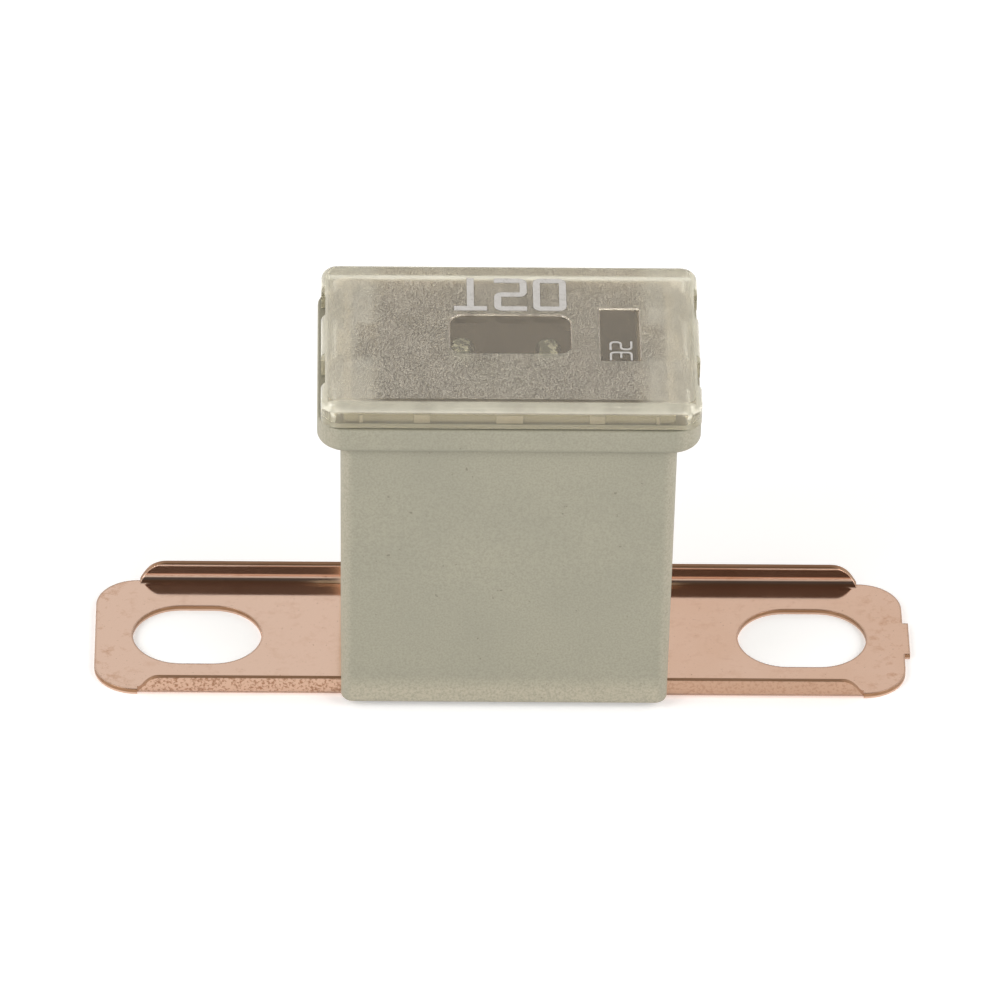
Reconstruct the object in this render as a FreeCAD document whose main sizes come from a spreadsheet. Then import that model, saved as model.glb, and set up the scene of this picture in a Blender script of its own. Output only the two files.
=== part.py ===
import FreeCAD, Part
import math
import os
import Sketcher

# Bolt-down slow-blow automotive fuse, in millimetres.
# The origin is midway between the two bolt slots, on the underside of the copper legs.
# X runs along the legs, Y across them, Z up towards the window.

SIZES = [
    # Copper stamping: legs
    ("strip_gauge", 0.4, "thickness of the copper strip"),
    ("fold_radius", 0.4, "inside radius of the riser's and link's folds"),
    ("end_margin", 2.5, "bolt slot to the leg's end"),
    ("leg_end_inset", 0.45, "edge of the flat end, inside the side flanges' outer faces"),
    ("leg_corner_radius", 2.8, "corners of the flat end"),
    ("flange_inset", 1.04, "body's front face to the side flange's outer face"),
    ("flange_height", 1.7, "side flanges, from the leg's underside"),
    ("flange_setback", 2.9, "leg end to the start of the side flanges"),
    ("flange_fold_radius", 0.55, "inside radius of the side flanges' folds"),
    ("flange_nose_slope", 55.0, "sloped outer end of the side flanges, degrees"),
    ("flange_nose_radius", 1.6, "round between that slope and the flange's top"),
    ("flange_edge_radius", 0.15, "rolled inside edge along the side flanges' tops"),
    ("flange_entry", 0.8, "length of side flange inside the body's end wall"),
    ("slot_width", 6.5, "bolt slot for an M6 stud"),
    ("slot_length", 8.6, "bolt slot, end to end"),
    ("slot_spacing", 40.4, "bolt slot to bolt slot"),
    ("carrier_tab_width", 3.5, "stub of the carrier strip on one leg end"),
    ("carrier_tab_length", 0.38, "how far that stub stands out"),
    # Copper stamping: risers, shoulders and fusible link
    ("riser_end_gap", 0.68, "riser to the body's end wall, if the body were centred"),
    ("riser_side_gap", 0.5, "riser's edge to the body's long wall"),
    ("riser_height", 16.7, "top face of the shoulders"),
    ("link_width", 2.6, "fusible link at its uprights"),
    ("link_span", 7.4, "outside to outside of the link's uprights"),
    ("link_headroom", 0.75, "the link's crests to the underside of the roof"),
    ("crest_flat", 0.1, "level stretch between the two folds of a crest"),
    ("dip_drop", 2.9, "top of the crests to the underside of the link's middle"),
    ("neck_width", 1.3, "narrow fusing neck"),
    ("neck_length", 2.2, "length of the neck"),
    ("barrel_length", 1.6, "crimp barrel round the pellet"),
    ("barrel_wall", 0.25, "thickness of the crimp barrel"),
    ("barrel_mouth", 0.4, "open seam along the top of the barrel"),
    ("pellet_radius", 0.6, "low-melting pellet"),
    ("crimp_clearance", 0.01, "pellet to barrel, all round"),
    # Moulded body
    ("body_offset", 0.2, "body's middle from the middle of the legs"),
    ("seat_clearance", 0.05, "plastic to copper where the body stands on the legs"),
    ("body_width", 21.56, "body at its foot, along X"),
    ("body_depth", 15.28, "body at its foot, along Y"),
    ("body_draft", 0.55, "outward draft of the body, degrees"),
    ("body_corner_radius", 0.8, "upright corners of the body"),
    ("foot_radius", 0.35, "bottom outside edge of the body"),
    ("side_wall", 0.95, "front and back walls"),
    ("end_wall", 1.4, "walls that the legs pass"),
    ("cavity_corner_radius", 0.5, "upright inside corners"),
    ("collar_underside", 21.15, "underside of the collar"),
    ("collar_height", 1.8, "collar, bottom to top"),
    ("collar_end_ledge", 1.52, "how far the collar stands out from the body's ends"),
    ("collar_side_ledge", 0.46, "how far it stands out from the body's front and back"),
    ("collar_corner_radius", 2.0, "upright corners of the collar"),
    ("collar_edge_radius", 0.42, "bottom edge of the collar"),
    ("collar_edge_margin", 0.02, "least ledge left between that round and the wall"),
    ("collar_top_radius", 0.12, "top edge of the collar"),
    ("shelf_thickness", 1.2, "end shelves under the cover"),
    ("shelf_reach", 1.8, "end shelves, inwards from the rim"),
    ("core_slot_width", 0.8, "slot in each end shelf, along X"),
    ("core_slot_length", 3.2, "slot in each end shelf, along Y"),
    ("core_slot_inset", 1.1, "slot's middle, inwards from the rim"),
    ("rim_headroom", 0.15, "rim to the underside of the cover's roof"),
    ("rim_end_gap", 0.79, "rim to the cover's short walls"),
    ("rim_end_wall", 0.5, "rim thickness at its ends"),
    ("rim_side_wall", 0.46, "rim thickness at its long sides"),
    ("rim_rib_spacing", 11.4, "outer ribs on the rim's long sides"),
    ("rim_rib_width", 1.05, "outer ribs"),
    ("rim_middle_rib_width", 1.75, "middle rib"),
    ("rim_fine_rib_spacing", 19.3, "fine ribs near the rim's ends"),
    ("rim_fine_rib_width", 0.25, "fine ribs"),
    ("nub_width", 3.0, "snap nub on each rim end"),
    ("nub_reach", 0.5, "how far a nub stands out"),
    ("nub_thickness", 0.35, "snap nub, bottom to top"),
    ("nub_lip", 0.1, "upright tip of a nub or hook"),
    ("guide_rib_reach", 0.75, "guide ribs beside the risers"),
    ("guide_rib_width", 0.6, "guide ribs, along X"),
    ("guide_rib_drop", 1.35, "top face of the shoulders to the top of the guide ribs"),
    ("guide_clearance", 0.1, "riser to guide rib"),
    # Clear cover
    ("cover_offset", 0.12, "cover's middle from the body's middle"),
    ("cover_seat_gap", 0.12, "cover to collar"),
    ("cover_end_step", 0.11, "collar's end to the cover's end, if the cover were centred"),
    ("cover_side_step", 0.15, "collar's front face to the cover's front face"),
    ("cover_height", 1.88, "cover, bottom edge to roof"),
    ("cover_wall", 0.8, "walls of the cover"),
    ("cover_roof", 1.0, "thickness of the roof"),
    ("cover_corner_radius", 1.1, "upright corners of the cover"),
    ("cover_edge_radius", 0.57, "top edge of the cover"),
    ("cover_inner_radius", 0.3, "inside edge of the roof"),
    ("cover_clearance", 0.05, "cover's walls to the rim's ribs"),
    ("tongue_width", 4.4, "snap tongue in each short wall"),
    ("post_gap", 3.4, "gap between a tongue and a corner post"),
    ("gap_recess", 0.27, "how far the roof edge is cut back in the gaps"),
    ("hook_clearance", 0.12, "hook to rim"),
    ("hook_play", 0.1, "hook to nub"),
    ("window_width", 8.05, "polished window, along X"),
    ("window_depth", 4.55, "polished window, along Y"),
    ("window_corner_radius", 1.0, "corners of the window"),
    ("patch_width", 2.72, "polished rating patch, along X"),
    ("patch_depth", 6.1, "polished rating patch, along Y"),
    ("patch_corner_radius", 0.15, "corners of the patch"),
    ("patch_place", 7.15, "patch's middle from the cover's middle"),
    ("recess_depth", 0.12, "depth of window and patch below the roof"),
    ("recess_draft", 30.0, "slope of the recess walls, degrees"),
]

# Sizes that follow from those on the sheet

ZERO = "0"
PAST = "Sizes.strip_gauge"  # how far a cut runs on past the face that it leaves
FOOT = "(Sizes.strip_gauge + Sizes.seat_clearance)"
TOP = "(Sizes.collar_underside + Sizes.collar_height)"
CAVITY_WIDTH = "(Sizes.body_width - 2 * Sizes.end_wall)"
CAVITY_DEPTH = "(Sizes.body_depth - 2 * Sizes.side_wall)"
SPREAD = f"((Sizes.collar_underside - {FOOT}) * tan(Sizes.body_draft * 1 deg))"
COLLAR_WIDTH = f"(Sizes.body_width + 2 * {SPREAD} + 2 * Sizes.collar_end_ledge)"
COLLAR_DEPTH = f"(Sizes.body_depth + 2 * {SPREAD} + 2 * Sizes.collar_side_ledge)"

COVER_WIDTH = f"({COLLAR_WIDTH} - 2 * Sizes.cover_end_step)"
COVER_DEPTH = f"({COLLAR_DEPTH} - 2 * Sizes.cover_side_step)"
COVER_INSIDE_WIDTH = f"({COVER_WIDTH} - 2 * Sizes.cover_wall)"
COVER_INSIDE_DEPTH = f"({COVER_DEPTH} - 2 * Sizes.cover_wall)"
COVER_HOLLOW = "(Sizes.cover_height - Sizes.cover_roof)"
ROOF_UNDERSIDE = f"({TOP} + Sizes.cover_seat_gap + {COVER_HOLLOW})"

RIM_WIDTH = f"({COVER_INSIDE_WIDTH} - 2 * Sizes.rim_end_gap)"
RIM_INSIDE = f"({RIM_WIDTH} - 2 * Sizes.rim_end_wall)"
RIM_HEIGHT = f"({ROOF_UNDERSIDE} - {TOP} - Sizes.rim_headroom)"
RIB_DEPTH = f"({COVER_INSIDE_DEPTH} - 2 * Sizes.cover_clearance)"
HOOK_REACH = "(Sizes.rim_end_gap - Sizes.cover_offset - Sizes.hook_clearance)"
HOOK_THICKNESS = f"({RIM_HEIGHT} - Sizes.nub_thickness - Sizes.hook_play - Sizes.cover_seat_gap)"

CHANNEL_WIDTH = "(Sizes.body_depth - 2 * Sizes.flange_inset)"
LEG_END = "(Sizes.slot_spacing / 2 + Sizes.slot_length / 2 + Sizes.end_margin)"
LEG_END_WIDTH = f"({CHANNEL_WIDTH} - 2 * Sizes.leg_end_inset)"
FLANGE_START = f"({LEG_END} - Sizes.flange_setback)"
FLANGE_STOP = "(Sizes.body_width / 2 - Sizes.flange_entry)"
OUTER_FOLD = "(Sizes.fold_radius + Sizes.strip_gauge)"
FLANGE_OUTER_FOLD = "(Sizes.flange_fold_radius + Sizes.strip_gauge)"
FOLD_LINE = f"({CHANNEL_WIDTH} / 2 - {FLANGE_OUTER_FOLD})"
RISER_FACE = f"({CAVITY_WIDTH} / 2 - Sizes.riser_end_gap)"
RISER_WIDTH = f"({CAVITY_DEPTH} - 2 * Sizes.riser_side_gap)"
LINK_TOP = f"({ROOF_UNDERSIDE} - Sizes.link_headroom)"
DIP_HEIGHT = f"({LINK_TOP} - Sizes.dip_drop)"
CREST_WIDTH = f"(2 * {OUTER_FOLD} + Sizes.crest_flat)"


# Sheet of sizes

def make_sizes(doc):
    sheet = doc.addObject("Spreadsheet::Sheet", "Sizes")
    for row, (name, value, note) in enumerate(SIZES, 1):
        sheet.set(f"A{row}", name)
        sheet.set(f"B{row}", str(value))
        sheet.set(f"C{row}", note)
        sheet.setAlias(f"B{row}", name)
    doc.recompute()
    return sheet


def size(item, formula):
    return float(item.Document.Sizes.evalExpression(formula))


# Sketch helpers

def new_body(doc, name):
    body = doc.addObject("PartDesign::Body", name)
    body.Label = name
    return body


def new_sketch(body, name, plane, lift=None):
    sketch = body.newObject("Sketcher::SketchObject", name)
    origin_plane = next(f for f in body.Origin.OriginFeatures if f.Role == plane)
    sketch.AttachmentSupport = [(origin_plane, "")]
    sketch.MapMode = "FlatFace"
    if lift is not None:
        sketch.setExpression("AttachmentOffset.Base.z", lift)
    return sketch


def bind(sketch, kind, geometry, formula):
    """Holds one size of a sketch to a formula on the sheet."""
    value = size(sketch, formula)
    index = sketch.addConstraint(Sketcher.Constraint(kind, *geometry, value))
    sketch.setExpression(f"Constraints[{index}]", formula)


def point(x, y):
    return FreeCAD.Vector(x, y, 0)


def outline(sketch, runs):
    """Draws a closed outline of level and upright runs.

    Each run is (axis, place, radius): axis "x" is an upright run at that x, axis "y" a level
    run at that y, and radius rounds the corner with the next run, or is None for a sharp one.
    """
    count = len(runs)
    axes = [run[0] for run in runs]
    places = [size(sketch, run[1]) for run in runs]
    radii = [0.0 if run[2] is None else size(sketch, run[2]) for run in runs]
    corners = []
    for i in range(count):
        here, there = places[i], places[(i + 1) % count]
        corners.append(point(here, there) if axes[i] == "x" else point(there, here))
    headings = []
    for i in range(count):
        step = corners[i] - corners[i - 1]
        headings.append(step.normalize())
    lines = []
    for i in range(count):
        start = corners[i - 1] + headings[i] * radii[i - 1]
        end = corners[i] - headings[i] * radii[i]
        lines.append(sketch.addGeometry(Part.LineSegment(start, end)))
        level = "Vertical" if axes[i] == "x" else "Horizontal"
        sketch.addConstraint(Sketcher.Constraint(level, lines[i]))
    for i in range(count):
        after = (i + 1) % count
        if runs[i][2] is None:
            sketch.addConstraint(Sketcher.Constraint("Coincident", lines[i], 2, lines[after], 1))
            continue
        round_corner(sketch, lines[i], lines[after], corners[i], headings[i], headings[after], radii[i])
        bind(sketch, "Radius", (sketch.GeometryCount - 1,), runs[i][2])
    for i in range(count):
        kind = "DistanceX" if axes[i] == "x" else "DistanceY"
        bind(sketch, kind, (-1, 1, lines[i], 1), runs[i][1])


def round_corner(sketch, line, next_line, corner, heading, next_heading, radius):
    centre = corner - heading * radius + next_heading * radius
    start = corner - heading * radius
    middle = centre + (corner - centre).normalize() * radius
    end = corner + next_heading * radius
    arc = sketch.addGeometry(Part.Arc(start, middle, end))
    # A sketch stores every arc anticlockwise, so a right turn swaps its ends.
    left_turn = heading.cross(next_heading).z > 0
    first, last = (1, 2) if left_turn else (2, 1)
    sketch.addConstraint(Sketcher.Constraint("Tangent", line, 2, arc, first))
    sketch.addConstraint(Sketcher.Constraint("Tangent", arc, last, next_line, 1))


def rectangle(sketch, left, right, bottom, top, radius=None):
    outline(sketch, [("y", bottom, radius), ("x", right, radius), ("y", top, radius), ("x", left, radius)])


def centred_rectangle(sketch, width, depth, radius=None):
    rectangle(sketch, f"-({width}) / 2", f"({width}) / 2", f"-({depth}) / 2", f"({depth}) / 2", radius)


def polygon(sketch, points):
    """Draws a closed outline through points given as pairs of formulas."""
    spots = [point(size(sketch, x), size(sketch, y)) for x, y in points]
    lines = []
    for i, spot in enumerate(spots):
        lines.append(sketch.addGeometry(Part.LineSegment(spot, spots[(i + 1) % len(spots)])))
    for i, line in enumerate(lines):
        after = lines[(i + 1) % len(lines)]
        sketch.addConstraint(Sketcher.Constraint("Coincident", line, 2, after, 1))
        bind(sketch, "DistanceX", (-1, 1, line, 1), points[i][0])
        bind(sketch, "DistanceY", (-1, 1, line, 1), points[i][1])


# Feature helpers

def pad(body, sketch, name, length, side="One side", reverse=False, taper=None):
    return extrusion(body, "PartDesign::Pad", sketch, name, length, side, reverse, taper)


def pocket(body, sketch, name, length, side="One side", reverse=False, taper=None):
    before = body.Shape.Volume
    cut = extrusion(body, "PartDesign::Pocket", sketch, name, length, side, reverse, taper)
    if not cut.Shape.Volume < before - 1e-6:
        raise RuntimeError(f"{name} cuts nothing")
    return cut


def extrusion(body, kind, sketch, name, length, side, reverse, taper):
    feature = body.newObject(kind, name)
    feature.Profile = sketch
    feature.SideType = side
    feature.Reversed = reverse
    feature.setExpression("Length", length)
    if taper is not None:
        feature.setExpression("TaperAngle", taper)
    body.Document.recompute()
    return feature


def fillet(body, name, radius, chosen):
    """Rounds each edge of the body's present shape for which chosen(edge) is true."""
    base = body.Tip
    edges = [f"Edge{i}" for i, edge in enumerate(base.Shape.Edges, 1) if chosen(edge)]
    if not edges:
        raise RuntimeError(f"{name} finds no edge")
    feature = body.newObject("PartDesign::Fillet", name)
    feature.Base = (base, edges)
    feature.setExpression("Radius", radius)
    body.Document.recompute()
    return feature


def level_at(edge, height):
    box = edge.BoundBox
    return abs(box.ZMin - height) < 1e-4 and abs(box.ZMax - height) < 1e-4


def reaches(edge, half_width, half_depth):
    """True for an edge on the outside of a rectangle of that half width and half depth."""
    box = edge.BoundBox
    far_x = max(abs(box.XMin), abs(box.XMax))
    far_y = max(abs(box.YMin), abs(box.YMax))
    on_end = far_x > half_width - 1e-3
    on_side = far_y > half_depth - 1e-3
    return on_end or on_side


# Copper stamping

def make_element(doc):
    """One strip, cut and folded: half of it is built on +X and mirrored."""
    body = new_body(doc, "fuse_element")
    fold_strip(body)
    trim_edges(body)
    round_leg_corners(body)
    add_side_flanges(body)
    round_flange_noses(body)
    cut_slot(body)
    cut_link_outline(body)
    mirror_strip(body)
    add_crimp_barrel(body)
    add_carrier_tab(body)
    return body


def fold_strip(body):
    """Side view of half the strip: leg, riser, shoulder, upright, crest, drop and dip."""
    inner = "Sizes.fold_radius"
    gauge = "Sizes.strip_gauge"
    upright = "Sizes.link_span / 2"
    drop = f"{upright} - {CREST_WIDTH}"
    sketch = new_sketch(body, "StripProfile", "XZ_Plane")
    outline(sketch, [
        # Underside of the leg, then the faces that look to the fuse's middle
        ("y", ZERO, OUTER_FOLD),
        ("x", f"{RISER_FACE} - {gauge}", inner),
        ("y", f"Sizes.riser_height - {gauge}", OUTER_FOLD),
        ("x", f"{upright} - {gauge}", inner),
        ("y", f"{LINK_TOP} - {gauge}", inner),
        ("x", f"{drop} + {gauge}", OUTER_FOLD),
        ("y", DIP_HEIGHT, None),
        # Middle of the link, then the other faces back to the leg's end
        ("x", ZERO, None),
        ("y", f"{DIP_HEIGHT} + {gauge}", inner),
        ("x", drop, OUTER_FOLD),
        ("y", LINK_TOP, OUTER_FOLD),
        ("x", upright, inner),
        ("y", "Sizes.riser_height", OUTER_FOLD),
        ("x", RISER_FACE, inner),
        ("y", gauge, None),
        ("x", LEG_END, None),
    ])
    pad(body, sketch, "Strip", f"{CHANNEL_WIDTH} + 2 * {PAST}", side="Symmetric")


def trim_edges(body):
    """Cuts the strip to width at the leg's flat end, where its sides fold up, and at the riser."""
    beyond = f"{LEG_END} + {PAST}"
    inside = f"-{PAST}"
    trims = (
        ("EndEdge", FLANGE_START, beyond, f"{LEG_END_WIDTH} / 2", "Sizes.flange_height"),
        ("FoldEdge", FLANGE_STOP, FLANGE_START, FOLD_LINE, "Sizes.flange_height"),
        ("RiserEdge", inside, FLANGE_STOP, f"{RISER_WIDTH} / 2", f"{LINK_TOP} + {PAST}"),
    )
    for label, left, right, near, height in trims:
        for side, name in ((-1, "Front"), (1, "Back")):
            sketch = new_sketch(body, f"{label}{name}", "XY_Plane")
            rectangle(sketch, left, right, f"{side} * {near}", f"{side} * {CHANNEL_WIDTH}")
            pocket(body, sketch, f"{label}{name}Cut", height, reverse=True)


def round_leg_corners(body):
    """Removes the sliver outside each rounded corner of the leg's flat end."""
    for side, name in ((-1, "Front"), (1, "Back")):
        sketch = new_sketch(body, f"LegCorner{name}", "XY_Plane")
        edge = f"{side} * {LEG_END_WIDTH} / 2"
        reach = size(sketch, "Sizes.leg_corner_radius")
        corner = point(size(sketch, LEG_END), size(sketch, edge))
        centre = corner - point(reach, side * reach)
        on_side, on_end = point(centre.x, corner.y), point(corner.x, centre.y)
        middle = centre + point(1, side).normalize() * reach
        along = sketch.addGeometry(Part.LineSegment(on_side, corner))
        down = sketch.addGeometry(Part.LineSegment(corner, on_end))
        arc = sketch.addGeometry(Part.Arc(on_end, middle, on_side))
        # A sketch stores every arc anticlockwise, so which end comes first depends on the side.
        first, last = (1, 2) if side > 0 else (2, 1)
        sketch.addConstraint(Sketcher.Constraint("Horizontal", along))
        sketch.addConstraint(Sketcher.Constraint("Vertical", down))
        sketch.addConstraint(Sketcher.Constraint("Coincident", along, 2, down, 1))
        sketch.addConstraint(Sketcher.Constraint("Tangent", down, 2, arc, first))
        sketch.addConstraint(Sketcher.Constraint("Tangent", arc, last, along, 1))
        bind(sketch, "Radius", (arc,), "Sizes.leg_corner_radius")
        bind(sketch, "DistanceX", (-1, 1, down, 1), LEG_END)
        bind(sketch, "DistanceY", (-1, 1, down, 1), edge)
        pocket(body, sketch, f"LegCorner{name}Cut", "Sizes.flange_height", reverse=True)


def add_side_flanges(body):
    """The two upturned edges that stiffen the leg."""
    outside = f"{CHANNEL_WIDTH} / 2"
    for side, name in ((-1, "Front"), (1, "Back")):
        sketch = new_sketch(body, f"Flange{name}Profile", "YZ_Plane", lift=FLANGE_STOP)
        outline(sketch, [
            ("y", ZERO, FLANGE_OUTER_FOLD),
            ("x", f"{side} * {outside}", None),
            ("y", "Sizes.flange_height", "Sizes.flange_edge_radius"),
            ("x", f"{side} * ({outside} - Sizes.strip_gauge)", "Sizes.flange_fold_radius"),
            ("y", "Sizes.strip_gauge", None),
            ("x", f"{side} * ({FOLD_LINE} - Sizes.strip_gauge)", None),
        ])
        pad(body, sketch, f"Flange{name}", f"{FLANGE_START} - {FLANGE_STOP}")


def round_flange_noses(body):
    """Slopes the outer end of both side flanges and rounds it into their tops."""
    sketch = new_sketch(body, "FlangeNose", "XZ_Plane")
    start, gauge = size(sketch, FLANGE_START), size(sketch, "Sizes.strip_gauge")
    beyond = size(sketch, f"{FLANGE_START} + {PAST}")
    top, radius = size(sketch, "Sizes.flange_height"), size(sketch, "Sizes.flange_nose_radius")
    slope = math.radians(size(sketch, "Sizes.flange_nose_slope"))
    heading = point(-math.cos(slope), math.sin(slope))
    foot = point(start, gauge)
    peak = foot + heading * ((top - gauge) / math.sin(slope))
    tangent = radius * math.tan(slope / 2)
    on_slope, on_top = peak - heading * tangent, peak - point(tangent, 0)
    centre = on_top - point(0, radius)
    middle = centre + point(math.sin(slope / 2), math.cos(slope / 2)) * radius
    corners = [on_top, point(beyond, top), point(beyond, gauge), foot, on_slope]
    above, beside, below, sloped = [
        sketch.addGeometry(Part.LineSegment(corners[i], corners[i + 1])) for i in range(4)
    ]
    arc = sketch.addGeometry(Part.Arc(on_slope, middle, on_top))
    sketch.addConstraint(Sketcher.Constraint("Horizontal", above))
    sketch.addConstraint(Sketcher.Constraint("Vertical", beside))
    sketch.addConstraint(Sketcher.Constraint("Horizontal", below))
    sketch.addConstraint(Sketcher.Constraint("Coincident", above, 2, beside, 1))
    sketch.addConstraint(Sketcher.Constraint("Coincident", beside, 2, below, 1))
    sketch.addConstraint(Sketcher.Constraint("Coincident", below, 2, sloped, 1))
    sketch.addConstraint(Sketcher.Constraint("Tangent", sloped, 2, arc, 1))
    sketch.addConstraint(Sketcher.Constraint("Tangent", arc, 2, above, 1))
    index = sketch.addConstraint(Sketcher.Constraint("Angle", sloped, math.pi - slope))
    sketch.setExpression(f"Constraints[{index}]", "180 deg - Sizes.flange_nose_slope * 1 deg")
    bind(sketch, "Radius", (arc,), "Sizes.flange_nose_radius")
    bind(sketch, "DistanceX", (-1, 1, sloped, 1), FLANGE_START)
    bind(sketch, "DistanceY", (-1, 1, sloped, 1), "Sizes.strip_gauge")
    bind(sketch, "DistanceX", (-1, 1, beside, 1), f"{FLANGE_START} + {PAST}")
    bind(sketch, "DistanceY", (-1, 1, beside, 1), "Sizes.flange_height")
    pocket(body, sketch, "FlangeNoseCut", f"{CHANNEL_WIDTH} + 2 * {PAST}", side="Symmetric")


def cut_slot(body):
    sketch = new_sketch(body, "SlotOutline", "XY_Plane")
    centre = size(body, "Sizes.slot_spacing / 2")
    straight = size(body, "(Sizes.slot_length - Sizes.slot_width) / 2")
    radius = size(body, "Sizes.slot_width / 2")
    low = Part.LineSegment(point(centre - straight, -radius), point(centre + straight, -radius))
    high = Part.LineSegment(point(centre + straight, radius), point(centre - straight, radius))
    right = Part.Arc(low.EndPoint, point(centre + straight + radius, 0), high.StartPoint)
    left = Part.Arc(high.EndPoint, point(centre - straight - radius, 0), low.StartPoint)
    bottom, top, outer_end, inner_end = [sketch.addGeometry(edge) for edge in (low, high, right, left)]
    sketch.addConstraint(Sketcher.Constraint("Horizontal", bottom))
    sketch.addConstraint(Sketcher.Constraint("Tangent", bottom, 2, outer_end, 1))
    sketch.addConstraint(Sketcher.Constraint("Tangent", outer_end, 2, top, 1))
    sketch.addConstraint(Sketcher.Constraint("Tangent", top, 2, inner_end, 1))
    sketch.addConstraint(Sketcher.Constraint("Tangent", inner_end, 2, bottom, 1))
    sketch.addConstraint(Sketcher.Constraint("PointOnObject", outer_end, 3, -1))
    bind(sketch, "Radius", (outer_end,), "Sizes.slot_width / 2")
    reach = "(Sizes.slot_length - Sizes.slot_width) / 2"
    bind(sketch, "DistanceX", (-1, 1, outer_end, 3), f"Sizes.slot_spacing / 2 + {reach}")
    bind(sketch, "DistanceX", (-1, 1, inner_end, 3), f"Sizes.slot_spacing / 2 - {reach}")
    pocket(body, sketch, "SlotCut", "Sizes.flange_height", reverse=True)


def cut_link_outline(body):
    """Cuts shoulder, upright, crest and neck to width, seen from above."""
    inside = f"-{PAST}"
    shoulder = f"{RISER_FACE} - {OUTER_FOLD}"
    upright = f"Sizes.link_span / 2 + {OUTER_FOLD}"
    lift = f"Sizes.riser_height - Sizes.strip_gauge - {PAST}"
    tall = f"{LINK_TOP} + {PAST} - ({lift})"
    for side, name in ((-1, "Front"), (1, "Back")):
        sketch = new_sketch(body, f"Shoulder{name}", "XY_Plane", lift=lift)
        polygon(sketch, [
            (inside, f"{side} * Sizes.link_width / 2"),
            (upright, f"{side} * Sizes.link_width / 2"),
            (shoulder, f"{side} * {RISER_WIDTH} / 2"),
            (shoulder, f"{side} * {RISER_WIDTH}"),
            (inside, f"{side} * {RISER_WIDTH}"),
        ])
        pocket(body, sketch, f"Shoulder{name}Cut", tall, reverse=True)
        neck = new_sketch(body, f"Neck{name}", "XY_Plane", lift=f"{DIP_HEIGHT} - {PAST}")
        near = f"{side} * Sizes.neck_width / 2"
        far = f"{side} * Sizes.link_width"
        rectangle(neck, inside, "Sizes.neck_length / 2", near, far)
        pocket(body, neck, f"Neck{name}Cut", f"Sizes.strip_gauge + 2 * {PAST}", reverse=True)


def mirror_strip(body):
    mirrored = body.newObject("PartDesign::Mirrored", "OtherHalf")
    plane = next(f for f in body.Origin.OriginFeatures if f.Role == "YZ_Plane")
    mirrored.MirrorPlane = (plane, [""])
    mirrored.TransformMode = "Whole shape"
    body.Tip = mirrored
    body.Document.recompute()


def add_crimp_barrel(body):
    """A sleeve curled up from the neck round the pellet, open along the top."""
    bore = "(Sizes.pellet_radius + Sizes.crimp_clearance)"
    outside = f"({bore} + Sizes.barrel_wall)"
    axis = f"{DIP_HEIGHT} + {outside}"
    ring = new_sketch(body, "BarrelRing", "YZ_Plane")
    circle_at(ring, axis, outside)
    circle_at(ring, axis, bore)
    pad(body, ring, "Barrel", "Sizes.barrel_length", side="Symmetric")
    hollow = new_sketch(body, "BarrelBore", "YZ_Plane")
    circle_at(hollow, axis, bore)
    pocket(body, hollow, "BarrelBoreCut", "Sizes.barrel_length", side="Symmetric")
    seam = new_sketch(body, "BarrelSeam", "YZ_Plane")
    half = "Sizes.barrel_mouth / 2"
    rectangle(seam, f"-{half}", half, axis, f"{axis} + {outside} + {PAST}")
    pocket(body, seam, "BarrelSeamCut", "Sizes.barrel_length", side="Symmetric")


def circle_at(sketch, height, radius):
    circle = Part.Circle(point(0, size(sketch, height)), FreeCAD.Vector(0, 0, 1), size(sketch, radius))
    index = sketch.addGeometry(circle)
    sketch.addConstraint(Sketcher.Constraint("PointOnObject", index, 3, -2))
    bind(sketch, "DistanceY", (-1, 1, index, 3), height)
    bind(sketch, "Radius", (index,), radius)


def add_carrier_tab(body):
    """The stub left where the stamping was sheared from its carrier strip."""
    half = "Sizes.carrier_tab_width / 2"
    root = f"{LEG_END} - Sizes.strip_gauge"
    tip = f"{LEG_END} + Sizes.carrier_tab_length"
    sketch = new_sketch(body, "CarrierTab", "XY_Plane")
    rectangle(sketch, root, tip, f"-{half}", half)
    pad(body, sketch, "CarrierStub", "Sizes.strip_gauge")


# Low-melting pellet

def make_pellet(doc):
    body = new_body(doc, "tin_pellet")
    axis = f"{DIP_HEIGHT} + Sizes.pellet_radius + Sizes.crimp_clearance + Sizes.barrel_wall"
    sketch = new_sketch(body, "PelletRound", "YZ_Plane")
    circle_at(sketch, axis, "Sizes.pellet_radius")
    pad(body, sketch, "Pellet", "Sizes.barrel_length", side="Symmetric")
    return body


# Moulded body

def make_housing(doc):
    body = new_body(doc, "housing")
    body.setExpression("Placement.Base.x", "Sizes.body_offset")
    mould_outside(body)
    mould_rim(body)
    mould_inside(body)
    add_guide_ribs(body)
    cut_flange_notches(body)
    return body


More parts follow.
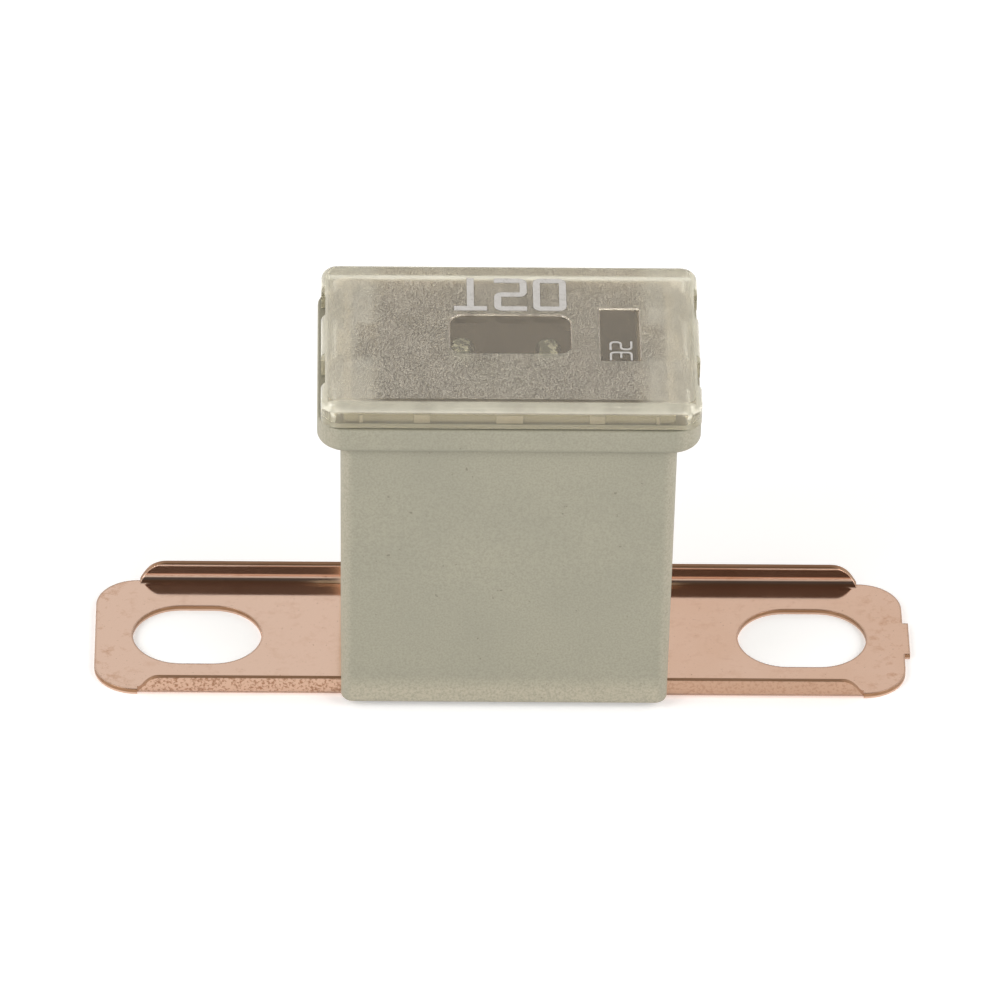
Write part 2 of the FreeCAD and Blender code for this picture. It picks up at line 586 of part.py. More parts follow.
def mould_outside(body):
    foot = new_sketch(body, "FootOutline", "XY_Plane", lift=FOOT)
    centred_rectangle(foot, "Sizes.body_width", "Sizes.body_depth", "Sizes.body_corner_radius")
    pad(body, foot, "Shell", f"Sizes.collar_underside - {FOOT}", taper="Sizes.body_draft")
    foot_height = size(body, FOOT)
    fillet(body, "FootRound", "Sizes.foot_radius", lambda edge: level_at(edge, foot_height))
    collar = new_sketch(body, "CollarOutline", "XY_Plane", lift="Sizes.collar_underside")
    centred_rectangle(collar, COLLAR_WIDTH, COLLAR_DEPTH, "Sizes.collar_corner_radius")
    pad(body, collar, "Collar", "Sizes.collar_height")
    underside = size(body, "Sizes.collar_underside")
    top = size(body, TOP)
    half_width = size(body, f"{COLLAR_WIDTH} / 2")
    half_depth = size(body, f"{COLLAR_DEPTH} / 2")

    def round_below(edge):
        return level_at(edge, underside) and reaches(edge, half_width, half_depth)

    # The round has to end a little short of the wall that the collar stands out from.
    widest = "(Sizes.collar_side_ledge - Sizes.collar_edge_margin)"
    fillet(body, "CollarRound", f"min(Sizes.collar_edge_radius; {widest})", round_below)
    fillet(body, "CollarTopRound", "Sizes.collar_top_radius", lambda edge: level_at(edge, top))


def mould_rim(body):
    """The rim inside the cover, with its locating ribs and snap nubs."""
    sketch = new_sketch(body, "RimOutline", "XY_Plane", lift=TOP)
    rim_depth = f"{CAVITY_DEPTH} + 2 * Sizes.rim_side_wall"
    centred_rectangle(sketch, RIM_WIDTH, rim_depth, "Sizes.cavity_corner_radius")
    pad(body, sketch, "Rim", RIM_HEIGHT)
    ribs = (
        ("Left", "-Sizes.rim_rib_spacing / 2", "Sizes.rim_rib_width"),
        ("Middle", ZERO, "Sizes.rim_middle_rib_width"),
        ("Right", "Sizes.rim_rib_spacing / 2", "Sizes.rim_rib_width"),
        ("FineLeft", "-Sizes.rim_fine_rib_spacing / 2", "Sizes.rim_fine_rib_width"),
        ("FineRight", "Sizes.rim_fine_rib_spacing / 2", "Sizes.rim_fine_rib_width"),
    )
    for name, place, width in ribs:
        rib = new_sketch(body, f"RimRib{name}", "XY_Plane", lift=TOP)
        left = f"{place} - {width} / 2"
        right = f"{place} + {width} / 2"
        rectangle(rib, left, right, f"-{RIB_DEPTH} / 2", f"{RIB_DEPTH} / 2")
        pad(body, rib, f"RimRib{name}Pad", f"{RIM_HEIGHT} - Sizes.cover_clearance")
    top = f"{TOP} + {RIM_HEIGHT}"
    for end, name in ((-1, "Left"), (1, "Right")):
        nub = new_sketch(body, f"SnapNub{name}", "XZ_Plane")
        root = f"{end} * ({RIM_WIDTH} / 2 - Sizes.rim_end_wall / 2)"
        face = f"{end} * {RIM_WIDTH} / 2"
        tip = f"{end} * ({RIM_WIDTH} / 2 + Sizes.nub_reach)"
        polygon(nub, [
            (root, f"{top} - Sizes.nub_thickness"),
            (tip, f"{top} - Sizes.nub_thickness"),
            (tip, f"{top} - Sizes.nub_thickness + Sizes.nub_lip"),
            (face, top),
            (root, top),
        ])
        pad(body, nub, f"SnapNub{name}Pad", "Sizes.nub_width", side="Symmetric")


def mould_inside(body):
    """Main cavity, open underneath, then the opening between the end shelves."""
    shelf = f"{TOP} - Sizes.shelf_thickness"
    cavity = new_sketch(body, "CavityOutline", "XY_Plane")
    centred_rectangle(cavity, CAVITY_WIDTH, CAVITY_DEPTH, "Sizes.cavity_corner_radius")
    pocket(body, cavity, "Cavity", shelf, reverse=True)
    inside_rim = new_sketch(body, "RimInside", "XY_Plane", lift=TOP)
    centred_rectangle(inside_rim, RIM_INSIDE, CAVITY_DEPTH, "Sizes.cavity_corner_radius")
    pocket(body, inside_rim, "RimInsideCut", f"{RIM_HEIGHT} + {PAST}", reverse=True)
    opening = new_sketch(body, "TopOpening", "XY_Plane", lift=TOP)
    opening_width = f"{RIM_INSIDE} - 2 * Sizes.shelf_reach"
    centred_rectangle(opening, opening_width, CAVITY_DEPTH, "Sizes.cavity_corner_radius")
    pocket(body, opening, "TopOpeningCut", f"Sizes.shelf_thickness + {PAST}")
    for side, name in ((-1, "Left"), (1, "Right")):
        slot = new_sketch(body, f"CoreSlot{name}", "XY_Plane", lift=TOP)
        place = f"{side} * ({RIM_INSIDE} / 2 - Sizes.core_slot_inset)"
        half = "Sizes.core_slot_width / 2"
        reach = "Sizes.core_slot_length / 2"
        rectangle(slot, f"{place} - {half}", f"{place} + {half}", f"-{reach}", reach)
        pocket(body, slot, f"CoreSlot{name}Cut", "Sizes.shelf_thickness")


def add_guide_ribs(body):
    """Upright ribs in pairs on the long walls, which hold the risers' edges."""
    wall = f"{CAVITY_DEPTH} / 2"
    tip = f"{wall} - Sizes.guide_rib_reach"
    outer_face = f"{RISER_FACE} + Sizes.guide_clearance"
    inner_face = f"{RISER_FACE} - Sizes.strip_gauge - Sizes.guide_clearance"
    lift = f"{FOOT} + Sizes.flange_height"
    height = f"Sizes.riser_height - Sizes.guide_rib_drop - ({lift})"
    for end, end_name in ((-1, "Left"), (1, "Right")):
        near = f"{end} * ({inner_face}) - Sizes.body_offset"
        far = f"{end} * ({outer_face}) - Sizes.body_offset"
        near_back = f"{near} - {end} * Sizes.guide_rib_width"
        far_back = f"{far} + {end} * Sizes.guide_rib_width"
        for side, side_name in ((-1, "Front"), (1, "Back")):
            low = f"{side} * ({tip})"
            high = f"{side} * ({wall} + Sizes.side_wall / 2)"
            for part, first, second in (("Inner", near_back, near), ("Outer", far, far_back)):
                name = f"Guide{end_name}{side_name}{part}"
                sketch = new_sketch(body, name, "XY_Plane", lift=lift)
                rectangle(sketch, first, second, low, high)
                pad(body, sketch, f"{name}Rib", height)


def cut_flange_notches(body):
    """Notches in the end walls' feet, which straddle the legs' side flanges."""
    outside = f"{CHANNEL_WIDTH} / 2 + Sizes.seat_clearance"
    inside = f"{FOLD_LINE} - Sizes.seat_clearance"
    top = "Sizes.flange_height + Sizes.seat_clearance"
    for side, name in ((-1, "Front"), (1, "Back")):
        sketch = new_sketch(body, f"Notch{name}", "YZ_Plane")
        rectangle(sketch, f"{side} * ({inside})", f"{side} * ({outside})", ZERO, top)
        pocket(body, sketch, f"Notch{name}Cut", COLLAR_WIDTH, side="Symmetric")


# Clear cover

def make_cover(doc):
    body = new_body(doc, "cover")
    body.setExpression("Placement.Base.x", "Sizes.body_offset + Sizes.cover_offset")
    body.setExpression("Placement.Base.z", f"{TOP} + Sizes.cover_seat_gap")
    mould_cover_block(body)
    cut_tongue_gaps(body)
    add_hooks(body)
    cut_roof_recesses(body)
    return body


def mould_cover_block(body):
    sketch = new_sketch(body, "CoverOutline", "XY_Plane")
    centred_rectangle(sketch, COVER_WIDTH, COVER_DEPTH, "Sizes.cover_corner_radius")
    pad(body, sketch, "CoverBlock", "Sizes.cover_height")
    top = size(body, "Sizes.cover_height")
    fillet(body, "CoverRound", "Sizes.cover_edge_radius", lambda edge: level_at(edge, top))
    inside = new_sketch(body, "CoverInside", "XY_Plane")
    radius = "Sizes.cover_corner_radius / 2"
    centred_rectangle(inside, COVER_INSIDE_WIDTH, COVER_INSIDE_DEPTH, radius)
    pocket(body, inside, "CoverInsideCut", COVER_HOLLOW, reverse=True)
    hollow = size(body, COVER_HOLLOW)
    fillet(body, "CoverInnerRound", "Sizes.cover_inner_radius", lambda edge: level_at(edge, hollow))


def cut_tongue_gaps(body):
    """Gaps on both sides of each snap tongue: open below the roof, a shallow recess beside it."""
    near = "Sizes.tongue_width / 2"
    far = f"{near} + Sizes.post_gap"
    edge = f"{COVER_WIDTH} / 2"
    beyond = f"{edge} + Sizes.cover_wall"
    for end, end_name in ((-1, "Left"), (1, "Right")):
        for side, side_name in ((-1, "Front"), (1, "Back")):
            name = f"{end_name}{side_name}"
            low = f"{side} * ({near})"
            high = f"{side} * ({far})"
            recess = new_sketch(body, f"GapRecess{name}", "XY_Plane")
            rectangle(recess, f"{end} * ({edge} - Sizes.gap_recess)", f"{end} * ({beyond})", low, high)
            pocket(body, recess, f"GapRecess{name}Cut", f"Sizes.cover_height + {PAST}", reverse=True)
            gap = new_sketch(body, f"Gap{name}", "XY_Plane")
            inner = f"{edge} - Sizes.cover_wall - Sizes.cover_inner_radius"
            rectangle(gap, f"{end} * ({inner})", f"{end} * ({beyond})", low, high)
            pocket(body, gap, f"Gap{name}Cut", COVER_HOLLOW, reverse=True)


def add_hooks(body):
    """Hooks inside the tongues, which catch under the rim's snap nubs."""
    wall = f"{COVER_INSIDE_WIDTH} / 2"
    for end, name in ((-1, "Left"), (1, "Right")):
        sketch = new_sketch(body, f"Hook{name}", "XZ_Plane")
        root = f"{end} * ({wall} + Sizes.cover_wall / 2)"
        face = f"{end} * {wall}"
        tip = f"{end} * ({wall} - {HOOK_REACH})"
        polygon(sketch, [
            (root, ZERO),
            (face, ZERO),
            (tip, f"{HOOK_THICKNESS} - Sizes.nub_lip"),
            (tip, HOOK_THICKNESS),
            (root, HOOK_THICKNESS),
        ])
        pad(body, sketch, f"Hook{name}Pad", "Sizes.nub_width", side="Symmetric")


def cut_roof_recesses(body):
    """The polished window and rating patch, sunk a little below the frosted roof."""
    window = new_sketch(body, "Window", "XY_Plane", lift="Sizes.cover_height")
    centred_rectangle(window, "Sizes.window_width", "Sizes.window_depth", "Sizes.window_corner_radius")
    pocket(body, window, "WindowCut", "Sizes.recess_depth", taper="-Sizes.recess_draft")
    patch = new_sketch(body, "Patch", "XY_Plane", lift="Sizes.cover_height")
    left = "Sizes.patch_place - Sizes.patch_width / 2"
    right = "Sizes.patch_place + Sizes.patch_width / 2"
    reach = "Sizes.patch_depth / 2"
    rectangle(patch, left, right, f"-{reach}", reach, "Sizes.patch_corner_radius")
    pocket(body, patch, "PatchCut", "Sizes.recess_depth", taper="-Sizes.recess_draft")


# Checks and files

def check(doc):
    for item in doc.Objects:
        if "Invalid" in item.State or "Error" in item.State:
            raise RuntimeError(f"{item.Name} failed: {item.State}")


def write_parts(bodies):
    os.makedirs("parts", exist_ok=True)
    for body in bodies:
        shape = body.Shape
        if shape.isNull() or not shape.isValid() or len(shape.Solids) != 1:
            raise RuntimeError(f"{body.Label} has no single valid solid")
        shape.exportStep(f"parts/{body.Label}.step")
        print(body.Label, round(shape.Volume, 2), "mm3")


def main():
    doc = FreeCAD.newDocument("Fuse")
    make_sizes(doc)
    bodies = [make_housing(doc), make_cover(doc), make_element(doc), make_pellet(doc)]
    doc.recompute()
    check(doc)
    write_parts(bodies)


main()
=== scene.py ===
import math

import bpy
from mathutils import Matrix, Vector


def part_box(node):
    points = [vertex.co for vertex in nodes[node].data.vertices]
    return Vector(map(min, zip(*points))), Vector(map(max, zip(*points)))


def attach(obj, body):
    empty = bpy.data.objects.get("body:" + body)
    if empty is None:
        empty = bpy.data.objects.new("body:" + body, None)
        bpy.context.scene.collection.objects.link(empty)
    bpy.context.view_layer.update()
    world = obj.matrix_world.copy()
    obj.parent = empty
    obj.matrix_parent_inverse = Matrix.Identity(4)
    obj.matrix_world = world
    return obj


# A bolt-down slow-blow fuse: looks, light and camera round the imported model.
# Everything is in metres, in the frame of the CAD model.

MM = 0.001
STRIP_GAUGE = 0.4 * MM

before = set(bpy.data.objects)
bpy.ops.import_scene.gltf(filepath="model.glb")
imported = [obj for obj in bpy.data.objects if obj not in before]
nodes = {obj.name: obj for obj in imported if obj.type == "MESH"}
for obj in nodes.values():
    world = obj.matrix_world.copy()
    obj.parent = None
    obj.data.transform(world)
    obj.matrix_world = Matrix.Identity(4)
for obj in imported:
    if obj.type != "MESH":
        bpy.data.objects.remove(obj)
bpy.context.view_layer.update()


# Node helpers

class Graph:
    """A material's or world's node tree, with short calls for what this scene uses."""

    def __init__(self, owner):
        owner.use_nodes = True
        self.tree = owner.node_tree
        self.tree.nodes.clear()

    def add(self, kind, inputs=None, **settings):
        node = self.tree.nodes.new("ShaderNode" + kind)
        for name, value in settings.items():
            setattr(node, name, value)
        for name, value in (inputs or {}).items():
            self.feed(node.inputs[name], value)
        return node

    def feed(self, socket, value):
        if isinstance(value, bpy.types.NodeSocket):
            self.tree.links.new(value, socket)
        else:
            socket.default_value = value

    def math(self, operation, a, b=0.0):
        return self.add("Math", {0: a, 1: b}, operation=operation).outputs[0]

    def plus(self, first, second):
        return self.math("ADD", first, second)

    def minus(self, first, second):
        return self.math("SUBTRACT", first, second)

    def size_of(self, value):
        return self.math("ABSOLUTE", value)

    def times(self, first, *others):
        for other in others:
            first = self.math("MULTIPLY", first, other)
        return first

    def either(self, first, *others):
        for other in others:
            first = self.math("MAXIMUM", first, other)
        return first

    def scaled(self, value, low, high, to_low=0.0, to_high=1.0):
        """Maps value from low..high to to_low..to_high, and holds it inside."""
        inputs = {"Value": value, "From Min": low, "From Max": high, "To Min": to_low, "To Max": to_high}
        return self.add("MapRange", inputs).outputs["Result"]

    def place(self, stretch=(1, 1, 1)):
        """A point's place in the CAD frame, stretched for grain that runs one way."""
        place = self.add("TexCoord").outputs["Object"]
        return self.add("Mapping", {"Vector": place, "Scale": stretch}).outputs["Vector"]

    def axes(self, vector):
        split = self.add("SeparateXYZ", {"Vector": vector}).outputs
        return split["X"], split["Y"], split["Z"]

    def facing(self):
        """The three parts of the surface's own normal."""
        return self.axes(self.add("NewGeometry").outputs["Normal"])

    def noise(self, size, detail, rough=0.5, stretch=(1, 1, 1)):
        """Noise whose blots are about size metres across."""
        inputs = {"Vector": self.place(stretch), "Scale": 1 / size, "Detail": detail, "Roughness": rough}
        return self.add("TexNoise", inputs).outputs["Fac"]

    def blend(self, share, first, second):
        node = self.add("Mix", data_type="RGBA")
        self.feed(node.inputs["Factor"], share)
        self.feed(node.inputs["A"], first)
        self.feed(node.inputs["B"], second)
        return node.outputs["Result"]

    def coated(self, tone, *coats):
        """Lays each coat, a share and a colour, over the tone below it."""
        for share, colour in coats:
            tone = self.blend(share, tone, colour)
        return tone

    def bump(self, height, depth, strength, normal=None):
        inputs = {"Height": height, "Distance": depth, "Strength": strength}
        if normal is not None:
            inputs["Normal"] = normal
        return self.add("Bump", inputs).outputs["Normal"]

    def soft_edges(self, radius):
        """Shades sharp CAD edges as if they were rounded by that radius."""
        return self.add("Bevel", {"Radius": radius}, samples=4).outputs["Normal"]

    def finish(self, shader, kind="Material"):
        out = self.add("Output" + kind)
        self.tree.links.new(shader, out.inputs["Surface"])

    def principled(self, inputs):
        self.finish(self.add("BsdfPrincipled", inputs).outputs["BSDF"])


def rgb(red, green, blue):
    return (red, green, blue, 1.0)


def new_material(name):
    material = bpy.data.materials.new(name)
    return material, Graph(material)


def paint(item, material):
    item.data.materials.clear()
    item.data.materials.append(material)


# Materials. Most masks fade over a short distance: the first number is where one starts.

PLASTIC_IOR = 1.5
RIM_START = 23.1 * MM


def moulded_plastic(rib_face):
    """Warm grey filled plastic: a fine spark-eroded grain and a few dark specks."""
    material, graph = new_material("MouldedPlastic")
    cloud = graph.scaled(graph.noise(6 * MM, 3), 0.3, 0.7)
    grains = graph.noise(0.14 * MM, 4, 0.6)
    dark_grains = graph.scaled(grains, 0.4, 0.65, 0, 0.6)
    specks = graph.scaled(graph.noise(0.4 * MM, 2, 0.4), 0.74, 0.78, 0, 0.6)
    _, depth, height = graph.axes(graph.place())
    # The foot is painted paler, as painted light bounced up from the floor, and the rounded upright edges
    # get a painted highlight from the side light
    foot = graph.scaled(height, 2.8 * MM, 1.6 * MM)
    sideways = graph.size_of(graph.facing()[0])
    corner = graph.times(graph.scaled(sideways, 0.15, 0.5), graph.scaled(sideways, 0.995, 0.9))
    # The rim that holds the cover is painted paler, as painted light falling on it through the clear cover,
    # and the ribs' outer faces get a paler painted highlight
    rim = graph.scaled(height, RIM_START, RIM_START + 0.1 * MM)
    rib = graph.times(rim, graph.scaled(graph.size_of(depth), rib_face - 0.05 * MM, rib_face - 0.03 * MM))
    tone = graph.coated(
        graph.blend(cloud, rgb(0.335, 0.322, 0.25), rgb(0.37, 0.353, 0.272)),
        (foot, rgb(0.47, 0.43, 0.33)),
        (corner, rgb(0.43, 0.4, 0.31)),
        (dark_grains, rgb(0.26, 0.25, 0.19)),
        (specks, rgb(0.14, 0.125, 0.09)),
        (rim, rgb(0.6, 0.575, 0.44)),
        (rib, rgb(0.78, 0.755, 0.66)),
    )
    graph.principled({
        "Base Color": tone,
        "Roughness": graph.scaled(cloud, 0, 1, 0.46, 0.55),
        "Normal": graph.bump(grains, 0.02 * MM, 0.5, graph.soft_edges(0.12 * MM)),
    })
    return material


def clear_plastic(low, high):
    """Clear plastic: milky outside walls, a frosted roof, a polished window and patch."""
    material, graph = new_material("ClearPlastic")
    x, y, z = graph.axes(graph.place())
    up = graph.facing()[2]
    half_depth = (high.y - low.y) / 2
    from_middle = graph.size_of(graph.minus(x, (low.x + high.x) / 2))
    from_end = graph.minus((high.x - low.x) / 2, from_middle)
    from_side = graph.minus(half_depth, graph.size_of(y))
    from_back = graph.minus(half_depth, y)
    from_front = graph.plus(half_depth, y)
    below_top = graph.minus(high.z, z)
    above_foot = graph.minus(z, low.z)

    skin = graph.either(
        graph.scaled(from_end, 0.6 * MM, 0.4 * MM),
        graph.scaled(from_side, 0.6 * MM, 0.4 * MM),
    )
    frosted = graph.times(graph.scaled(up, 0.9, 0.99), graph.scaled(below_top, 0.05 * MM, 0.02 * MM))
    # Painted light: where moulded walls and shelves lie under the roof, the roof is painted paler than over
    # the cavity, and over the back wall this makes a painted glint
    over_shelf = graph.scaled(from_end, 4.3 * MM, 3.2 * MM)
    back_wall_glint = graph.times(
        graph.scaled(from_back, 2.2 * MM, 1.8 * MM),
        graph.scaled(from_back, 1.3 * MM, 1.5 * MM),
    )
    # Each end shelf has a slot for the cover's tongue: there the painted light is dimmed, a painted shade
    # that shows as a darker smudge
    slot_shade = graph.times(
        graph.scaled(from_end, 4.1 * MM, 3.7 * MM),
        graph.scaled(from_end, 2.1 * MM, 2.7 * MM),
        graph.scaled(graph.size_of(graph.plus(y, 0.85 * MM)), 2.3 * MM, 1.4 * MM),
    )
    shelf = graph.times(over_shelf, graph.scaled(slot_shade, 0, 1, 0.6, 0.14))
    painted_light_over_walls = graph.times(frosted, graph.either(back_wall_glint, shelf))
    # A thin painted dark line of shade where the roof's frosting ends, just behind the front wall
    front_shade_line = graph.times(
        frosted,
        graph.scaled(from_front, 0.72 * MM, 0.68 * MM),
        graph.scaled(from_end, 2.4 * MM, 2.8 * MM),
    )
    round_edge = graph.scaled(below_top, 0.8 * MM, 0.6 * MM, 0.1, 0.5)
    # The bottom of the walls, and the slopes round the window and patch
    seat = graph.scaled(above_foot, 0.03 * MM, 0.01 * MM)
    sunk = graph.times(
        graph.scaled(below_top, 0.2 * MM, 0.15 * MM),
        graph.scaled(up, 0.2, 0.4),
        graph.scaled(up, 0.97, 0.93),
        graph.minus(1.0, skin),
    )

    grains = graph.scaled(graph.noise(0.09 * MM, 2, 0.6), 0.36, 0.64)
    cloud = graph.scaled(graph.noise(2 * MM, 3), 0.3, 0.7, 0.85, 1.15)
    # How much of the light is scattered back and doesn't pass through
    milk = graph.either(
        graph.times(frosted, cloud, graph.scaled(grains, 0, 1, 0, 0.56)),
        graph.times(painted_light_over_walls, cloud, graph.scaled(grains, 0, 1, 0.4, 0.75)),
        graph.times(skin, cloud, round_edge),
        graph.times(sunk, 0.35),
        graph.times(seat, 0.9),
        0.08,
    )
    roof_tone = graph.blend(grains, rgb(0.6, 0.54, 0.44), rgb(0.86, 0.8, 0.67))
    # The coats include a painted dark shade line and the painted light over the walls and shelves
    tone = graph.coated(
        graph.blend(frosted, rgb(0.89, 0.8, 0.67), roof_tone),
        (skin, rgb(0.84, 0.81, 0.67)),
        (front_shade_line, rgb(0.3, 0.27, 0.21)),
        (seat, rgb(0.74, 0.71, 0.57)),
        (painted_light_over_walls, rgb(0.93, 0.91, 0.78)),
    )
    graph.principled({
        "Base Color": tone,
        "Roughness": graph.scaled(graph.either(frosted, graph.times(skin, 0.2)), 0, 1, 0.04, 0.32),
        "IOR": PLASTIC_IOR,
        "Transmission Weight": graph.minus(1.0, milk),
        "Normal": graph.bump(grains, 0.006 * MM, frosted, graph.soft_edges(0.1 * MM)),
    })
    return material


LEG_START = 10 * MM


def rolled_copper(flange_face):
    """Rolled copper strip: polished legs, brown sheared edges, scuffed outer faces, a tinned link."""
    material, graph = new_material("RolledCopper")
    x, y, z = graph.axes(graph.place())
    across, _, up = graph.facing()
    from_middle = graph.size_of(x)
    on_leg = graph.scaled(from_middle, LEG_START, LEG_START + 0.1 * MM)
    # Sheared edges: the strip's rim and slot walls, then the side flanges' sloped and level tops
    rim = graph.times(
        graph.scaled(z, STRIP_GAUGE + 0.02 * MM, STRIP_GAUGE + 0.005 * MM),
        graph.scaled(graph.size_of(up), 0.5, 0.35),
    )
    slope = graph.times(
        on_leg,
        graph.scaled(graph.size_of(across), 0.2, 0.3),
        graph.scaled(z, 0.3 * MM, 0.4 * MM),
    )
    top = graph.times(on_leg, graph.scaled(up, 0.5, 0.7), graph.scaled(z, 1.1 * MM, 1.2 * MM))
    sheared = graph.either(rim, slope, top)
    # The sheared edges turn lighter toward their foot: a painted highlight on the rounded rollover
    edge_foot_highlight = graph.scaled(z, 0.17 * MM, 0.1 * MM)
    # The flanges' outer faces, the painted shade below their fold, and a darker band along the plate's
    # rounded top edge
    outside = graph.scaled(graph.size_of(y), flange_face - 0.35 * MM, flange_face - 0.15 * MM)
    under_fold = graph.times(outside, graph.scaled(z, 0.62 * MM, 0.48 * MM))
    tilt = graph.scaled(graph.axes(graph.soft_edges(0.25 * MM))[2], 0.98, 0.85)
    dark_plate_edge = graph.times(on_leg, tilt, graph.scaled(up, 0.97, 0.99), graph.scaled(z, 0.6 * MM, 0.5 * MM))
    fold_shade_and_dark_edge = graph.times(graph.either(dark_plate_edge, under_fold), 0.75)
    link = graph.scaled(z, 15.2 * MM, 16 * MM)
    near_end = graph.scaled(from_middle, 24 * MM, 26.5 * MM, 0.25, 1)
    on_left = graph.scaled(x, 12 * MM, -12 * MM)

    cloud = graph.scaled(graph.noise(6 * MM, 4, 0.6), 0.3, 0.7)
    stain = graph.scaled(graph.noise(1.1 * MM, 5, 0.7), 0.53, 0.7)
    scuffs = graph.scaled(graph.noise(0.18 * MM, 3, 0.6), 0.48, 0.62)
    pits = graph.times(scuffs, outside, graph.scaled(on_left, 0, 1, 0.4, 0.9))
    fine_pits = graph.scaled(graph.noise(0.16 * MM, 2), 0.7, 0.76)
    lines = graph.noise(0.2 * MM, 3, 0.6, stretch=(0.05, 1, 1))
    # Dents in the tinned link; the same noise also paints bright glints on it, a painted highlight
    dents_and_glints = graph.noise(0.5 * MM, 2)
    sheared_tone = graph.blend(lines, rgb(0.24, 0.12, 0.06), rgb(0.46, 0.27, 0.16))
    tone = graph.coated(
        graph.blend(cloud, rgb(0.93, 0.62, 0.46), rgb(0.97, 0.67, 0.52)),
        (on_left, rgb(1, 0.71, 0.56)),
        (graph.times(stain, near_end, 0.7), rgb(0.6, 0.3, 0.15)),
        (graph.times(fine_pits, 0.5), rgb(0.35, 0.2, 0.13)),
        (outside, graph.blend(on_left, rgb(0.53, 0.34, 0.24), rgb(0.63, 0.42, 0.31))),
        (pits, rgb(0.32, 0.165, 0.095)),
        (fold_shade_and_dark_edge, rgb(0.26, 0.16, 0.11)),
        (sheared, graph.blend(edge_foot_highlight, sheared_tone, rgb(0.74, 0.52, 0.4))),
        # The tinned link, with painted glints where the noise is high
        (link, graph.blend(graph.scaled(dents_and_glints, 0.52, 0.6), rgb(0.22, 0.29, 0.27), rgb(0.85, 1, 0.98))),
    )
    rough = graph.either(
        graph.scaled(cloud, 0, 1, 0.09, 0.13),
        graph.times(stain, near_end, 0.3),
        graph.times(outside, 0.3),
        graph.times(sheared, 0.4),
        graph.times(link, 0.2),
    )
    drawn = graph.bump(lines, 0.0015 * MM, 0.4, graph.soft_edges(0.1 * MM))
    worn = graph.bump(graph.minus(1.0, pits), 0.02 * MM, 0.4, drawn)
    graph.principled({
        "Base Color": tone,
        "Metallic": 1.0,
        "Roughness": rough,
        "Normal": graph.bump(graph.times(link, dents_and_glints), 0.2 * MM, 0.7, worn),
    })
    return material


def dull_tin():
    """The pellet's cloudy grey tin, which lies in the link's crimp barrel."""
    material, graph = new_material("DullTin")
    cloud = graph.scaled(graph.noise(0.4 * MM, 4, 0.6), 0.3, 0.7)
    graph.principled({
        "Base Color": graph.blend(cloud, rgb(0.5, 0.5, 0.49), rgb(0.68, 0.68, 0.66)),
        "Metallic": 1.0,
        "Roughness": graph.scaled(cloud, 0, 1, 0.35, 0.5),
        "Normal": graph.bump(cloud, 0.01 * MM, 0.5),
    })
    return material


def moulded_strokes():
    """The cover's raised numbers: its plastic, milky in its depth, with a rubbed top."""
    material, graph = new_material("MouldedStrokes")
    cloud = graph.scaled(graph.noise(0.5 * MM, 3), 0.3, 0.7)
    rubbed = graph.scaled(graph.noise(0.12 * MM, 2), 0.62, 0.7, 0, 0.4)
    tone = graph.blend(cloud, rgb(0.5, 0.485, 0.46), rgb(0.58, 0.565, 0.545))
    graph.principled({
        "Base Color": graph.blend(rubbed, tone, rgb(0.25, 0.23, 0.2)),
        "Roughness": graph.scaled(cloud, 0, 1, 0.25, 0.35),
        "IOR": PLASTIC_IOR,
        "Normal": graph.soft_edges(0.04 * MM),
    })
    return material


cover_low, cover_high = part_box("cover")
# The housing's ribs end this far inside the cover's outer face: its wall and a small gap
RIB_INSET = 0.85 * MM
paint(nodes["housing"], moulded_plastic(cover_high.y - RIB_INSET))
paint(nodes["cover"], clear_plastic(cover_low, cover_high))
paint(nodes["fuse_element"], rolled_copper(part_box("fuse_element")[1].y))
paint(nodes["tin_pellet"], dull_tin())


# Numbers on the cover

CORNER_STEPS = 4
STROKE_HEIGHT = 0.06 * MM


def rounded_path(points, radius, closed):
    """Points of a run of straight strokes whose corners are rounded."""
    spots = [Vector(point) for point in points]
    path = []
    for i, here in enumerate(spots):
        if not closed and i in (0, len(spots) - 1):
            path.append(here)
            continue
        back = (spots[i - 1] - here).normalized()
        ahead = (spots[(i + 1) % len(spots)] - here).normalized()
        centre = here + (back + ahead) * radius
        for step in range(CORNER_STEPS + 1):
            angle = step / CORNER_STEPS * math.pi / 2
            path.append(centre - ahead * radius * math.cos(angle) - back * radius * math.sin(angle))
    return path


def stroke_mesh(name, runs, width, radius):
    """One flat-topped raised number made of strokes of one width, with square ends."""
    verts, faces = [], []
    for points, closed in runs:
        path = rounded_path(points, radius, closed)
        first = len(verts)
        count = len(path)
        for i, here in enumerate(path):
            back = path[i - 1] if closed or i else here
            ahead = path[(i + 1) % count] if closed or i < count - 1 else here
            along = (ahead - back).normalized()
            side = Vector((-along.y, along.x)) * width / 2
            for flat in (here + side, here - side):
                verts += [(flat.x, flat.y, 0), (flat.x, flat.y, STROKE_HEIGHT)]
        for i in range(count if closed else count - 1):
            a, b = first + 4 * i, first + 4 * ((i + 1) % count)
            faces += [
                (a + 1, a + 3, b + 3, b + 1),
                (a, b, b + 2, a + 2),
                (a, a + 1, b + 1, b),
                (a + 2, b + 2, b + 3, a + 3),
            ]
        if not closed:
            last = first + 4 * (count - 1)
            faces += [(first, first + 2, first + 3, first + 1), (last, last + 1, last + 3, last + 2)]
    mesh = bpy.data.meshes.new(name)
    mesh.from_pydata(verts, [], faces)
    mesh.validate()
    item = bpy.data.objects.new(name, mesh)
    bpy.context.collection.objects.link(item)
    return item


# Each shape gives its runs inside width by height, measured to the strokes' outer edges.
# A run is its points and whether it closes on itself.

def one(width, height, stroke):
    middle, half = width / 2, stroke / 2
    stem = [(middle, height), (middle, stroke)]
    foot = [(0, half), (width, half)]
    return [(stem, False), (foot, False)]


